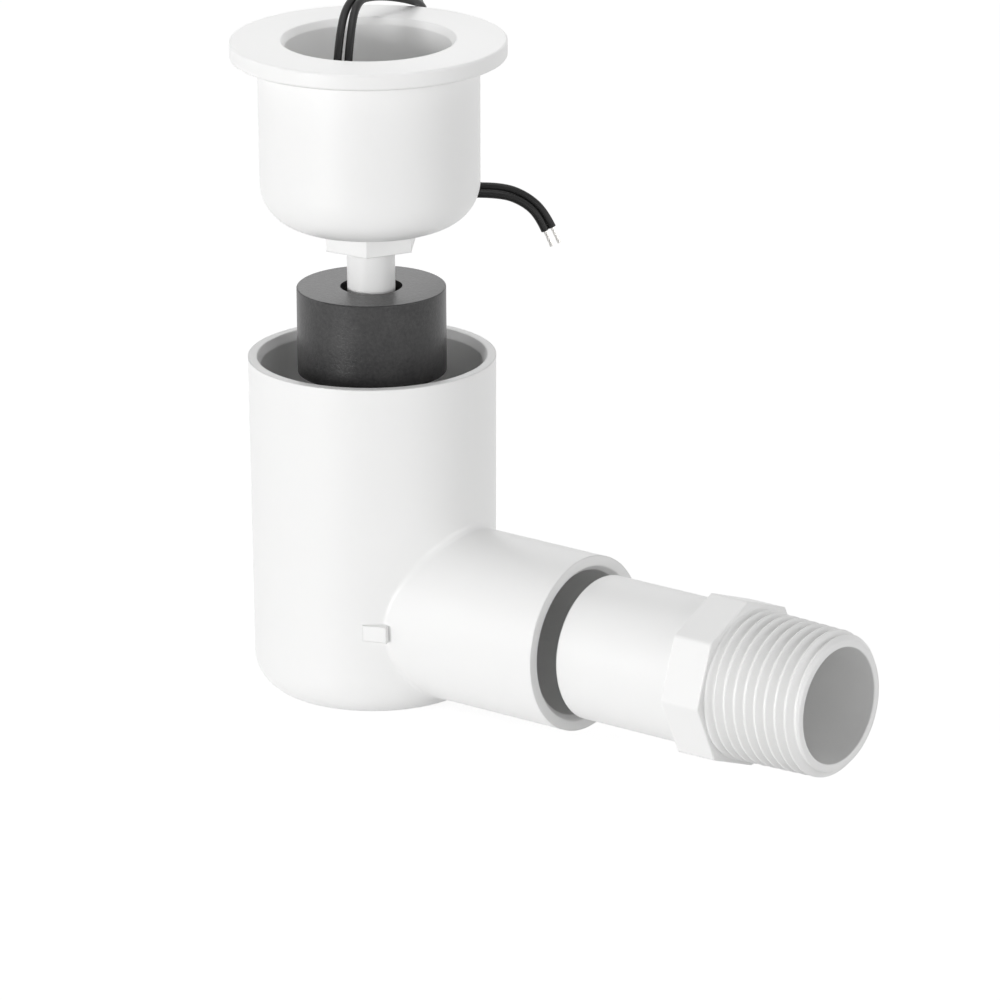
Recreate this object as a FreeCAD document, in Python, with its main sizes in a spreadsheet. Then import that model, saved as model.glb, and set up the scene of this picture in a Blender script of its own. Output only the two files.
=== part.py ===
"""Float level switch of a condensate drain, drawn open as it is sold.

Three moulded parts carry it: a chamber with a side socket, a flanged cup that plugs the
chamber, and a threaded adapter that plugs the socket. The switch hangs through the floor of
the cup: a hollow stem with a reed contact inside, and a foam float with a ring magnet that
slides on the stem. The cup is drawn lifted off the chamber, and the adapter drawn just out of
its socket. Millimetres, +Z up. The origin is the middle of the chamber's foot, and the side
socket points along +X.
"""
import FreeCAD, Part

import math
import os

import Sketcher
from FreeCAD import Placement, Rotation, Vector

# Driving sizes: each can be changed by itself
SIZES = {
    # chamber with its side arm
    "chamber_radius": 22.73,
    "chamber_draft": 0.5,
    "foot_rounding": 7.0,
    "floor_thickness": 2.35,
    "floor_rounding": 3.0,
    "rim_chamfer": 0.75,
    "rim_chamfer_depth": 1.5,
    "arm_height": 17.74,
    "arm_radius": 16.22,
    "arm_reach": 49.37,
    "junction_rounding": 1.2,
    "socket_depth": 25.4,
    "socket_fit": 0.06,
    "mouth_chamfer": 0.95,
    "mouth_chamfer_depth": 1.1,
    "port_radius": 10.6,
    "tab_length": 4.6,
    "tab_height": 3.0,
    "tab_proud": 1.4,
    "tab_root": 2.6,
    "tab_shift": 1.8,
    "tab_drop": 0.6,
    "tab_turn": 20.4,
    # adapter, drawn out of the socket by adapter_gap
    "adapter_gap": 3.14,
    "spigot_radius": 13.335,
    "spigot_length": 25.8,
    "spigot_chamfer": 0.6,
    "collar_radius": 15.7,
    "collar_length": 8.3,
    "collar_turn": 2.6,
    "thread_length": 19.7,
    "thread_radius": 13.75,
    "thread_end_radius": 13.25,
    "thread_nose": 1.3,
    "thread_pitch": 2.2,
    "thread_depth": 1.35,
    "thread_crest": 0.3,
    "thread_root": 0.18,
    "thread_run_in": 0.75,
    "thread_turns": 9.5,
    "cutter_clear": 0.5,
    "drain_radius": 10.61,
    # cup, drawn above the rim by cap_lift
    "cap_lift": 56.44,
    "cap_fit": 0.1,
    "cup_radius": 20.25,
    "cup_draft": 0.2,
    "cup_depth": 31.32,
    "cup_rounding": 8.0,
    "cup_wall": 5.1,
    "cup_floor": 3.0,
    "cup_well_rounding": 4.0,
    "cup_mouth_chamfer": 0.82,
    "cup_mouth_chamfer_depth": 1.2,
    "flange_radius": 25.23,
    "flange_thickness": 3.12,
    "flange_rounding": 0.4,
    # switch: from the cup's floor down to the end of the stem
    "washer_thickness": 0.8,
    "washer_radius": 7.3,
    "hex_radius": 9.0,
    "hex_thickness": 3.55,
    "hex_turn": 4.5,
    "float_drop": 7.68,
    "float_height": 16.0,
    "float_radius": 13.68,
    "float_gap": 1.3,
    "float_rounding": 0.25,
    "float_play": 0.1,
    "clip_thickness": 0.8,
    "clip_radius": 6.9,
    "clip_groove": 0.6,
    "clip_fit": 0.05,
    "clip_mouth": 5.6,
    "stem_radius": 4.4,
    "stem_bore": 2.9,
    "stem_end_wall": 1.6,
    "stem_tail": 0.4,
    "floor_clearance": 0.4,
    "shank_radius": 5.0,
    "shank_fit": 0.2,
    "shank_tail": 1.18,
    "nut_radius": 9.2,
    "nut_height": 3.5,
    "nut_fit": 0.05,
    # magnet ring moulded into the float
    "magnet_height": 5.0,
    "magnet_radius": 9.8,
    "magnet_bore": 6.9,
    "magnet_fit": 0.05,
    # reed contact and wiring inside the stem
    "reed_radius": 1.15,
    "reed_wall": 0.3,
    "reed_length": 13.0,
    "reed_foot": 4.2,
    "reed_end_rounding": 0.5,
    "wire_radius": 0.25,
    "wire_fit": 0.03,
    "wire_pitch": 2.2,
    "wire_root": 0.5,
    "blade_width": 0.7,
    "blade_thickness": 0.2,
    "blade_overlap": 1.2,
    "blade_air": 0.1,
    "joint_radius": 0.5,
    "joint_length": 1.6,
    "bend_clearance": 0.15,
    "insulation_wall": 0.3,
    "shrink_wall": 0.45,
    "shrink_length": 6.0,
    "shrink_gap": 0.1,
    "potting_depth": 4.0,
    "potting_fit": 0.02,
    # pair of single leads
    "lead_diameter": 1.5,
    "conductor_diameter": 0.7,
    "bared_length": 3.2,
}

# Sizes worked out from the driving ones, as sheet formulas
PLACES = {
    "cap_stack": "cup_depth + washer_thickness + hex_thickness + float_drop + float_height",
    "stem_stack": "float_play + clip_thickness + stem_tail + floor_clearance + floor_thickness",
    "rim_z": "cap_stack + stem_stack",
    "foot_radius": "chamber_radius - chamber_draft",
    "bore_radius": "cup_radius + cap_fit",
    "rim_edge_radius": "bore_radius + rim_chamfer",
    "rim_chamfer_z": "rim_z - rim_chamfer_depth",
    "socket_radius": "spigot_radius + socket_fit",
    "mouth_radius": "socket_radius + mouth_chamfer",
    "mouth_x": "arm_reach - mouth_chamfer_depth",
    "shoulder_x": "arm_reach - socket_depth",
    "spigot_x": "arm_reach + adapter_gap",
    "spigot_edge_x": "spigot_x + spigot_chamfer",
    "spigot_edge_radius": "spigot_radius - spigot_chamfer",
    "collar_x": "spigot_x + spigot_length",
    "thread_x": "collar_x + collar_length",
    "adapter_end_x": "thread_x + thread_length",
    "nose_x": "adapter_end_x - thread_nose",
    "nose_radius": "thread_end_radius - thread_nose",
    "thread_slope": "(thread_radius - thread_end_radius) / (thread_length - thread_nose)",
    "thread_travel": "thread_pitch * thread_turns",
    "cutter_x": "thread_x + thread_pitch * thread_run_in + thread_travel",
    "cutter_crest_radius": "thread_radius - thread_slope * (cutter_x - thread_x)",
    "cutter_root_radius": "cutter_crest_radius - thread_depth",
    "cutter_top_radius": "cutter_crest_radius + cutter_clear",
    "cutter_flank": "(thread_pitch - thread_crest - thread_root) / 2",
    "cutter_top_half":
        "thread_root / 2 + cutter_flank * (thread_depth + cutter_clear) / thread_depth",
    "cutter_root_near": "cutter_x - thread_root / 2",
    "cutter_root_far": "cutter_x + thread_root / 2",
    "cutter_top_near": "cutter_x - cutter_top_half",
    "cutter_top_far": "cutter_x + cutter_top_half",
    "flange_z": "rim_z + cap_lift",
    "flange_top_z": "flange_z + flange_thickness",
    "cup_base_z": "flange_z - cup_depth",
    "cup_foot_radius": "cup_radius - cup_draft",
    "well_z": "cup_base_z + cup_floor",
    "well_radius": "cup_radius - cup_wall",
    "well_foot_radius": "well_radius - cup_draft",
    "cup_edge_radius": "well_radius + cup_mouth_chamfer",
    "cup_edge_z": "flange_top_z - cup_mouth_chamfer_depth",
    "stem_hole_radius": "shank_radius + shank_fit",
    "washer_z": "cup_base_z - washer_thickness",
    "hex_z": "washer_z - hex_thickness",
    "float_top_z": "hex_z - float_drop",
    "float_base_z": "float_top_z - float_height",
    "float_bore": "stem_radius + float_gap",
    "clip_top_z": "float_base_z - float_play",
    "clip_z": "clip_top_z - clip_thickness",
    "stem_z": "clip_z - stem_tail",
    "groove_radius": "stem_radius - clip_groove",
    "groove_z": "clip_z - clip_fit",
    "groove_top_z": "clip_top_z + clip_fit",
    "clip_bore": "groove_radius + clip_fit",
    "bore_end_z": "stem_z + stem_end_wall",
    "nut_top_z": "well_z + nut_height",
    "shank_top_z": "nut_top_z + shank_tail",
    "nut_bore": "shank_radius + nut_fit",
    "magnet_z": "float_base_z + (float_height - magnet_height) / 2",
    "magnet_top_z": "magnet_z + magnet_height",
    "pocket_z": "magnet_z - magnet_fit",
    "pocket_top_z": "magnet_top_z + magnet_fit",
    "pocket_bore": "magnet_bore - magnet_fit",
    "pocket_radius": "magnet_radius + magnet_fit",
    "clip_mouth_low": "0 - clip_mouth / 2",
    "clip_mouth_high": "clip_mouth / 2",
    "clip_reach": "clip_radius + 1",
    "reed_x": "0 - wire_pitch / 2",
    "return_x": "wire_pitch / 2",
    "reed_z": "bore_end_z + reed_foot",
    "reed_top_z": "reed_z + reed_length",
    "reed_seal": "3 * reed_wall",
    "reed_room_z": "reed_z + reed_seal",
    "reed_room_top_z": "reed_top_z - reed_seal",
    "reed_room_radius": "reed_radius - reed_wall",
    "wire_hole": "wire_radius + wire_fit",
    "joint_z": "reed_z - joint_length",
    "joint_middle_z": "reed_z - joint_length / 2",
    "bend_z": "bore_end_z + bend_clearance + wire_radius + wire_pitch / 2",
    "lower_root_z": "reed_room_z + wire_root",
    "upper_root_z": "reed_room_top_z - wire_root",
    "blade_length": "reed_length / 2 - reed_seal + blade_overlap / 2",
    "lower_blade_x": "reed_x - blade_air / 2 - blade_thickness",
    "upper_blade_x": "reed_x + blade_air / 2",
    "upper_blade_z": "reed_room_top_z - blade_length",
    "blade_y": "0 - blade_width / 2",
    "potting_z": "shank_top_z - potting_depth",
    "potting_radius": "stem_bore - potting_fit",
    "shrink_z": "potting_z - shrink_length",
    "shrink_radius": "wire_hole + shrink_wall",
    "insulation_radius": "wire_hole + insulation_wall",
    "insulation_top_z": "shrink_z - shrink_gap",
    "tab_z": "arm_height - tab_drop - tab_height / 2",
}

# Routes of the two leads from the potting to their bared ends, points chosen by hand
LEAD_ROUTES = {
    "lead_a": [
        (-1.1, 0.0, 96.2), (-1.1, 0.0, 103.0), (-3.2, -5.8, 112.1), (-3.9, -3.7, 122.9),
        (-8.0, 3.2, 127.8), (-9.7, 11.8, 128.8), (-10.0, 20.4, 126.8), (-11.4, 29.4, 123.0),
        (-13.6, 32.6, 114.2), (-12.9, 32.4, 104.0), (-9.6, 31.6, 94.1), (-5.3, 33.9, 87.0),
        (1.0, 37.8, 87.0), (4.7, 40.1, 85.5), (7.3, 41.6, 82.6), (8.5, 42.3, 79.2),
    ],
    "lead_b": [
        (1.1, 0.0, 96.2), (1.1, 0.0, 103.2), (-1.7, -4.4, 113.2), (-2.4, -2.5, 122.5),
        (-6.2, 4.2, 128.0), (-8.3, 12.0, 127.7), (-8.0, 20.0, 125.6), (-9.6, 28.7, 121.8),
        (-12.4, 30.8, 113.4), (-13.0, 30.4, 103.3), (-10.6, 30.0, 93.6), (-5.2, 32.4, 85.8),
        (1.5, 36.4, 85.8), (4.6, 38.7, 84.4), (6.5, 40.2, 81.7), (7.4, 41.0, 78.6),
    ],
}
ARC_SHARE = 0.45          # share of the shorter run that a lead's bend takes up
SAME = 0.01               # two lengths closer than this are the same edge's

doc = FreeCAD.newDocument("float_level_switch")


def fill_sheet(name, cells):
    """a sheet of named cells; worked-out cells hold formulas"""
    sheet = doc.addObject("Spreadsheet::Sheet", name)
    for row, (alias, content) in enumerate(cells.items(), start=1):
        sheet.set(f"A{row}", alias)
        sheet.set(f"B{row}", str(content))
        sheet.setAlias(f"B{row}", alias)
    return sheet


def in_sizes(formula):
    """a formula of plain names, as one that reads them from their sheets"""
    words = []
    for word in formula.replace("(", "( ").replace(")", " )").split():
        words.append(f"sizes.{word}" if word in SIZES else word)
    return "=" + " ".join(words)


sizes = fill_sheet("sizes", SIZES)
places = fill_sheet("places", {alias: in_sizes(formula) for alias, formula in PLACES.items()})
doc.recompute()


def size(name):
    """the number that a named size has now"""
    return (sizes if name in SIZES else places).get(name)


def cell(name):
    """the expression that reads a named size"""
    return f"sizes.{name}" if name in SIZES else f"places.{name}"


def new_body(name):
    body = doc.addObject("PartDesign::Body", name)
    body.Label = name
    return body


def lay_on(feature, body, role, offset=None):
    """attach a feature to one of its body's own planes, its offset bound to sizes"""
    planes = {plane.Role: plane for plane in body.Origin.OriginFeatures}
    feature.AttachmentSupport = [(planes[role], "")]
    feature.MapMode = "FlatFace"
    for axis, expression in (offset or {}).items():
        feature.setExpression(f".AttachmentOffset.Base.{axis}", expression)


def new_sketch(body, name, role, offset=None):
    sketch = body.newObject("Sketcher::SketchObject", name)
    lay_on(sketch, body, role, offset)
    return sketch


def pin(sketch, line, end, across, up):
    """hold one end of a line at two named sizes; None is on the axis"""
    for kind, name, axis in (("DistanceX", across, -2), ("DistanceY", up, -1)):
        if name is None:
            sketch.addConstraint(Sketcher.Constraint("PointOnObject", line, end, axis))
            continue
        index = sketch.addConstraint(Sketcher.Constraint(kind, -1, 1, line, end, size(name)))
        sketch.setExpression(f"Constraints[{index}]", cell(name))


def outline(body, name, role, corners, offset=None):
    """closed outline of straight lines between corners at named sizes"""
    sketch = new_sketch(body, name, role, offset)
    spots = [Vector(size(x) if x else 0, size(y) if y else 0, 0) for x, y in corners]
    count = len(corners)
    for index in range(count):
        sketch.addGeometry(Part.LineSegment(spots[index], spots[(index + 1) % count]), False)
    for index in range(count):
        after = (index + 1) % count
        sketch.addConstraint(Sketcher.Constraint("Coincident", index, 2, after, 1))
    for index, (across, up) in enumerate(corners):
        pin(sketch, index, 1, across, up)
    return sketch


def rings(body, name, role, radii, offset=None):
    """circles about a plane's origin, with named radii"""
    sketch = new_sketch(body, name, role, offset)
    for index, radius in enumerate(radii):
        circle = Part.Circle(Vector(0, 0, 0), Vector(0, 0, 1), size(radius))
        sketch.addGeometry(circle, False)
        sketch.addConstraint(Sketcher.Constraint("Coincident", index, 3, -1, 1))
        held = sketch.addConstraint(Sketcher.Constraint("Radius", index, size(radius)))
        sketch.setExpression(f"Constraints[{held}]", cell(radius))
    return sketch


def turned(body, kind, name, sketch, axis="V_Axis"):
    """full turn of an outline about its sketch's own axis"""
    feature = body.newObject(f"PartDesign::{kind}", name)
    feature.Profile = sketch
    feature.ReferenceAxis = (sketch, [axis])
    feature.Angle = 360
    return feature


def rounded(body, name, picks, radius):
    """round the edges of the body so far that the pick accepts"""
    doc.recompute()
    base = body.Tip
    names = [f"Edge{n}" for n, edge in enumerate(base.Shape.Edges, start=1) if picks(edge)]
    feature = body.newObject("PartDesign::Fillet", name)
    feature.Base = (base, names)
    feature.setExpression("Radius", cell(radius))
    return feature


def circle_at(height, radius):
    """pick of the level circle with a given height and radius"""
    def picks(edge):
        curve = edge.Curve
        if not isinstance(curve, Part.Circle):
            return False
        return abs(curve.Center.z - height) < SAME and abs(curve.Radius - radius) < SAME
    return picks


def elbow_body():
    """chamber, side arm and alignment tab, moulded in one piece"""
    body = new_body("elbow_body")
    shell = outline(body, "chamber_outline", "XZ_Plane", [
        (None, None), ("foot_radius", None), ("chamber_radius", "rim_z"), (None, "rim_z"),
    ])
    turned(body, "Revolution", "chamber", shell)
    rounded(body, "foot", circle_at(0, size("foot_radius")), "foot_rounding")
    arm_offset = {"y": cell("arm_height")}
    arm_ring = rings(body, "arm_ring", "YZ_Plane", ["arm_radius"], arm_offset)
    arm = body.newObject("PartDesign::Pad", "arm")
    arm.Profile = arm_ring
    arm.setExpression("Length", cell("arm_reach"))
    rounded(body, "junction", at_junction, "junction_rounding")
    alignment_tab(body)
    well = outline(body, "bore_outline", "XZ_Plane", [
        (None, "floor_thickness"), ("bore_radius", "floor_thickness"),
        ("bore_radius", "rim_chamfer_z"), ("rim_edge_radius", "rim_z"), (None, "rim_z"),
    ])
    turned(body, "Groove", "bore", well)
    rounded(body, "floor_edge", circle_at(size("floor_thickness"), size("bore_radius")),
            "floor_rounding")
    socket = outline(body, "socket_outline", "XZ_Plane", [
        (None, None), (None, "port_radius"), ("shoulder_x", "port_radius"),
        ("shoulder_x", "socket_radius"), ("mouth_x", "socket_radius"),
        ("arm_reach", "mouth_radius"), ("arm_reach", None),
    ], arm_offset)
    turned(body, "Groove", "socket", socket, "H_Axis")
    return body


def at_junction(edge):
    """pick of the edges where the side arm leaves the chamber's wall"""
    middle = edge.valueAt((edge.FirstParameter + edge.LastParameter) / 2)
    from_arm_axis = math.hypot(middle.y, middle.z - size("arm_height"))
    on_arm = abs(from_arm_axis - size("arm_radius")) < SAME
    return on_arm and 0 < middle.x < size("chamber_radius") + SAME


def alignment_tab(body):
    """small block across the crease between chamber and arm, on the near side"""
    crease_y = -size("arm_radius")
    crease_x = math.sqrt(size("chamber_radius") ** 2 - crease_y ** 2)
    turn = math.radians(size("tab_turn"))
    along = Vector(math.cos(turn), math.sin(turn), 0)
    outward = Vector(math.sin(turn), -math.cos(turn), 0)
    crease = Vector(crease_x, crease_y, size("tab_z"))
    corner = (crease - along * (size("tab_shift") + size("tab_length") / 2)
              + outward * size("tab_proud"))
    block = body.newObject("PartDesign::AdditiveBox", "alignment_tab")
    lay_on(block, body, "XY_Plane")
    block.AttachmentOffset = Placement(corner, Rotation(Vector(0, 0, 1), size("tab_turn")))
    block.setExpression("Length", cell("tab_length"))
    block.setExpression("Width", cell("tab_root"))
    block.setExpression("Height", cell("tab_height"))
    return block


def male_adapter():
    """spigot, octagonal collar and tapered thread round one straight bore"""
    body = new_body("male_adapter")
    offset = {"y": cell("arm_height")}
    hull = outline(body, "hull_outline", "XZ_Plane", [
        ("spigot_x", None), ("spigot_x", "spigot_edge_radius"),
        ("spigot_edge_x", "spigot_radius"), ("thread_x", "spigot_radius"),
        ("thread_x", "thread_radius"), ("nose_x", "thread_end_radius"),
        ("adapter_end_x", "nose_radius"), ("adapter_end_x", None),
    ], offset)
    turned(body, "Revolution", "hull", hull, "H_Axis")
    collar = body.newObject("PartDesign::AdditivePrism", "collar")
    lay_on(collar, body, "YZ_Plane", {"y": cell("arm_height"), "z": cell("collar_x")})
    collar.Polygon = 8
    collar.setExpression("Circumradius", cell("collar_radius"))
    collar.setExpression("Height", cell("collar_length"))
    collar.setExpression(".AttachmentOffset.Rotation.Angle", cell("collar_turn"))
    thread_groove(body, offset)
    bore = outline(body, "drain_outline", "XZ_Plane", [
        ("spigot_x", None), ("spigot_x", "drain_radius"),
        ("adapter_end_x", "drain_radius"), ("adapter_end_x", None),
    ], offset)
    turned(body, "Groove", "drain", bore, "H_Axis")
    return body


def thread_groove(body, offset):
    """one V groove that winds in from beyond the nose, up the taper to the collar"""
    cutter = outline(body, "cutter_outline", "XZ_Plane", [
        ("cutter_root_near", "cutter_root_radius"), ("cutter_root_far", "cutter_root_radius"),
        ("cutter_top_far", "cutter_top_radius"), ("cutter_top_near", "cutter_top_radius"),
    ], offset)
    groove = body.newObject("PartDesign::SubtractiveHelix", "thread_groove")
    groove.Profile = cutter
    groove.ReferenceAxis = (cutter, ["H_Axis"])
    groove.Mode = "pitch-height-angle"
    groove.setExpression("Pitch", cell("thread_pitch"))
    groove.setExpression("Height", cell("thread_travel"))
    groove.setExpression("Angle", f"atan({cell('thread_slope')})")
    groove.Reversed = True
    return groove


def float_cap():
    """flanged cup that plugs the chamber and carries the switch in its floor"""
    body = new_body("float_cap")
    hull = outline(body, "cup_outline", "XZ_Plane", [
        (None, "cup_base_z"), ("cup_foot_radius", "cup_base_z"), ("cup_radius", "flange_z"),
        ("flange_radius", "flange_z"), ("flange_radius", "flange_top_z"),
        (None, "flange_top_z"),
    ])
    turned(body, "Revolution", "cup", hull)
    rounded(body, "cup_foot", circle_at(size("cup_base_z"), size("cup_foot_radius")),
            "cup_rounding")

    def flange_rims(edge):
        return any(circle_at(size(level), size("flange_radius"))(edge)
                   for level in ("flange_z", "flange_top_z"))
    rounded(body, "flange_rims", flange_rims, "flange_rounding")
    well = outline(body, "well_outline", "XZ_Plane", [
        (None, "well_z"), ("well_foot_radius", "well_z"), ("well_radius", "cup_edge_z"),
        ("cup_edge_radius", "flange_top_z"), (None, "flange_top_z"),
    ])
    turned(body, "Groove", "well", well)
    rounded(body, "well_foot", circle_at(size("well_z"), size("well_foot_radius")),
            "cup_well_rounding")
    hole = rings(body, "stem_hole_ring", "XY_Plane", ["stem_hole_radius"],
                 {"z": cell("flange_top_z")})
    drilled = body.newObject("PartDesign::Pocket", "stem_hole")
    drilled.Profile = hole
    drilled.Type = "ThroughAll"
    return body


def hexagon(body, name, circumradius, height, base, turn=None):
    """upright hexagonal prism about the stem's axis"""
    prism = body.newObject("PartDesign::AdditivePrism", name)
    lay_on(prism, body, "XY_Plane", {"z": cell(base)})
    prism.Polygon = 6
    prism.setExpression("Circumradius", cell(circumradius))
    prism.setExpression("Height", cell(height))
    if turn:
        prism.setExpression(".AttachmentOffset.Rotation.Angle", cell(turn))
    return prism


def switch_stem():
    """hollow stem closed at its foot, hexagonal flange, and the shank through the cup"""
    body = new_body("switch_stem")
    hull = outline(body, "stem_outline", "XZ_Plane", [
        (None, "stem_z"), ("stem_radius", "stem_z"), ("stem_radius", "groove_z"),
        ("groove_radius", "groove_z"), ("groove_radius", "groove_top_z"),
        ("stem_radius", "groove_top_z"), ("stem_radius", "washer_z"),
        ("shank_radius", "washer_z"), ("shank_radius", "shank_top_z"), (None, "shank_top_z"),
    ])
    turned(body, "Revolution", "stem", hull)
    hexagon(body, "hex_flange", "hex_radius", "hex_thickness", "hex_z", "hex_turn")
    bore = outline(body, "stem_bore_outline", "XZ_Plane", [
        (None, "bore_end_z"), ("stem_bore", "bore_end_z"),
        ("stem_bore", "shank_top_z"), (None, "shank_top_z"),
    ])
    turned(body, "Groove", "stem_bore_cut", bore)
    return body


def ring(name, bore, radius, base, top, across=None):
    """plain ring, or rod where bore is None, on the stem's axis or beside it"""
    body = new_body(name)
    offset = {"x": cell(across)} if across else None
    section = outline(body, f"{name}_section", "XZ_Plane", [
        (bore, base), (radius, base), (radius, top), (bore, top),
    ], offset)
    turned(body, "Revolution", f"{name}_turn", section)
    return body


def lock_nut():
    """hexagonal nut that clamps the switch to the cup's floor"""
    body = new_body("lock_nut")
    hexagon(body, "nut_prism", "nut_radius", "nut_height", "well_z", "hex_turn")
    bore = outline(body, "nut_bore_outline", "XZ_Plane", [
        (None, "well_z"), ("nut_bore", "well_z"), ("nut_bore", "nut_top_z"), (None, "nut_top_z"),
    ])
    turned(body, "Groove", "nut_thread", bore)
    return body


def foam_float():
    """closed-cell foam ring, moulded round its magnet"""
    body = ring("foam_float", "float_bore", "float_radius", "float_base_z", "float_top_z")

    def rims(edge):
        return any(circle_at(size(level), size("float_radius"))(edge)
                   for level in ("float_base_z", "float_top_z"))
    rounded(body, "float_rims", rims, "float_rounding")
    pocket = outline(body, "magnet_pocket_section", "XZ_Plane", [
        ("pocket_bore", "pocket_z"), ("pocket_radius", "pocket_z"),
        ("pocket_radius", "pocket_top_z"), ("pocket_bore", "pocket_top_z"),
    ])
    turned(body, "Groove", "magnet_pocket", pocket)
    return body


def retaining_clip():
    """open spring ring in the stem's groove, on which the float rests"""
    body = new_body("retaining_clip")
    disc = rings(body, "clip_rings", "XY_Plane", ["clip_bore", "clip_radius"],
                 {"z": cell("clip_z")})
    plate = body.newObject("PartDesign::Pad", "clip_plate")
    plate.Profile = disc
    plate.setExpression("Length", cell("clip_thickness"))
    mouth = outline(body, "clip_mouth_outline", "XY_Plane", [
        (None, "clip_mouth_low"), ("clip_reach", "clip_mouth_low"),
        ("clip_reach", "clip_mouth_high"), (None, "clip_mouth_high"),
    ], {"z": cell("clip_z")})
    gap = body.newObject("PartDesign::Pocket", "clip_mouth")
    gap.Profile = mouth
    gap.Type = "ThroughAll"
    gap.Midplane = True
    return body


def reed_capsule():
    """glass tube drawn down to a seal round the wire at each end"""
    body = new_body("reed_capsule")
    section = outline(body, "capsule_section", "XZ_Plane", [
        ("wire_hole", "reed_z"), ("reed_radius", "reed_z"), ("reed_radius", "reed_top_z"),
        ("wire_hole", "reed_top_z"), ("wire_hole", "reed_room_top_z"),
        ("reed_room_radius", "reed_room_top_z"), ("reed_room_radius", "reed_room_z"),
        ("wire_hole", "reed_room_z"),
    ], {"x": cell("reed_x")})
    turned(body, "Revolution", "capsule", section)

    def ends(edge):
        curve = edge.Curve
        return isinstance(curve, Part.Circle) and abs(curve.Radius - size("reed_radius")) < SAME
    rounded(body, "capsule_ends", ends, "reed_end_rounding")
    return body


def reed_blade(name, wire_base, wire_top, blade_x, blade_z):
    """round wire that is pressed flat inside the glass; the two flats face each other"""
    body = ring(name, None, "wire_radius", wire_base, wire_top, "reed_x")
    flat = body.newObject("PartDesign::AdditiveBox", f"{name}_flat")
    lay_on(flat, body, "XY_Plane",
           {"x": cell(blade_x), "y": cell("blade_y"), "z": cell(blade_z)})
    flat.setExpression("Length", cell("blade_thickness"))
    flat.setExpression("Width", cell("blade_width"))
    flat.setExpression("Height", cell("blade_length"))
    return body


def placed(name, shape):
    """sub-part whose shape no feature makes"""
    feature = doc.addObject("Part::Feature", name)
    feature.Label = name
    feature.Shape = shape
    return feature


def round_tube(path, radius):
    """round solid swept along a wire of straight runs and tangent arcs"""
    first = path.Edges[0]
    start = first.valueAt(first.FirstParameter)
    heading = first.tangentAt(first.FirstParameter)
    mouth = Part.Wire(Part.makeCircle(radius, start, heading))
    return path.makePipeShell([mouth], True, False)


def return_wire():
    """wire from the foot of the reed round a U and up beside the capsule"""
    down, up, bend = size("reed_x"), size("return_x"), size("bend_z")
    turn = Part.Arc(Vector(down, 0, bend), Vector((down + up) / 2, 0, bend - (up - down) / 2),
                    Vector(up, 0, bend))
    path = Part.Wire([
        Part.LineSegment(Vector(down, 0, size("joint_middle_z")), turn.StartPoint).toShape(),
        turn.toShape(),
        Part.LineSegment(turn.EndPoint, Vector(up, 0, size("potting_z"))).toShape(),
    ])
    return placed("return_wire", round_tube(path, size("wire_radius")))


def lead_path(points):
    """runs joined by tangent arcs, each as large as its two runs allow; and the arcs' radii"""
    corners = [Vector(*point) for point in points]
    edges, radii, here = [], [], corners[0]
    for before, corner, after in zip(corners, corners[1:], corners[2:]):
        back, ahead = before - corner, after - corner
        half_turn = (math.pi - back.getAngle(ahead)) / 2
        reach = ARC_SHARE * min(back.Length, ahead.Length)
        radii.append(reach / math.tan(half_turn))
        back.normalize()
        ahead.normalize()
        start, end = corner + back * reach, corner + ahead * reach
        inward = back + ahead
        inward.normalize()
        depth = radii[-1] / math.cos(half_turn) - radii[-1]
        edges.append(Part.LineSegment(here, start).toShape())
        edges.append(Part.Arc(start, corner + inward * depth, end).toShape())
        here = end
    edges.append(Part.LineSegment(here, corners[-1]).toShape())
    return Part.Wire(edges), radii


def lead(name):
    """one of the two single leads, as a tube along its route"""
    path, radii = lead_path(LEAD_ROUTES[name])
    radius = size("lead_diameter") / 2
    tube = round_tube(path, radius)
    expected = math.pi * radius ** 2 * path.Length
    print(f"{name}: length {path.Length:.1f}, bend radii",
          " ".join(f"{value:.1f}" for value in radii),
          f"volume {tube.Volume:.1f} of {expected:.1f}")
    return placed(name, tube)


def bared_end(name, of_lead):
    """tinned conductor that stands out of a lead's far end"""
    before, end = (Vector(*point) for point in LEAD_ROUTES[of_lead][-2:])
    core = doc.addObject("Part::Cylinder", name)
    core.Label = name
    core.setExpression("Radius", f"{cell('conductor_diameter')} / 2")
    core.setExpression("Height", cell("bared_length"))
    core.Placement = Placement(end, Rotation(Vector(0, 0, 1), end - before))
    return core


def build():
    """every sub-part, from the chamber up to the leads"""
    return [
        elbow_body(),
        male_adapter(),
        float_cap(),
        ring("sealing_washer", "nut_bore", "washer_radius", "washer_z", "cup_base_z"),
        switch_stem(),
        lock_nut(),
        foam_float(),
        ring("float_magnet", "magnet_bore", "magnet_radius", "magnet_z", "magnet_top_z"),
        retaining_clip(),
        reed_capsule(),
        reed_blade("reed_blade_lower", "joint_middle_z", "lower_root_z",
                   "lower_blade_x", "reed_room_z"),
        reed_blade("reed_blade_upper", "upper_root_z", "potting_z",
                   "upper_blade_x", "upper_blade_z"),
        ring("solder_joint", "wire_hole", "joint_radius", "joint_z", "reed_z", "reed_x"),
        return_wire(),
        ring("return_insulation", "wire_hole", "insulation_radius",
             "bend_z", "insulation_top_z", "return_x"),
        ring("shrink_sleeve_a", "wire_hole", "shrink_radius", "shrink_z", "potting_z", "reed_x"),
        ring("shrink_sleeve_b", "wire_hole", "shrink_radius",
             "shrink_z", "potting_z", "return_x"),
        ring("potting_plug", None, "potting_radius", "potting_z", "shank_top_z"),
        lead("lead_a"),
        lead("lead_b"),
        bared_end("lead_a_tip", "lead_a"),
        bared_end("lead_b_tip", "lead_b"),
    ]


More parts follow.
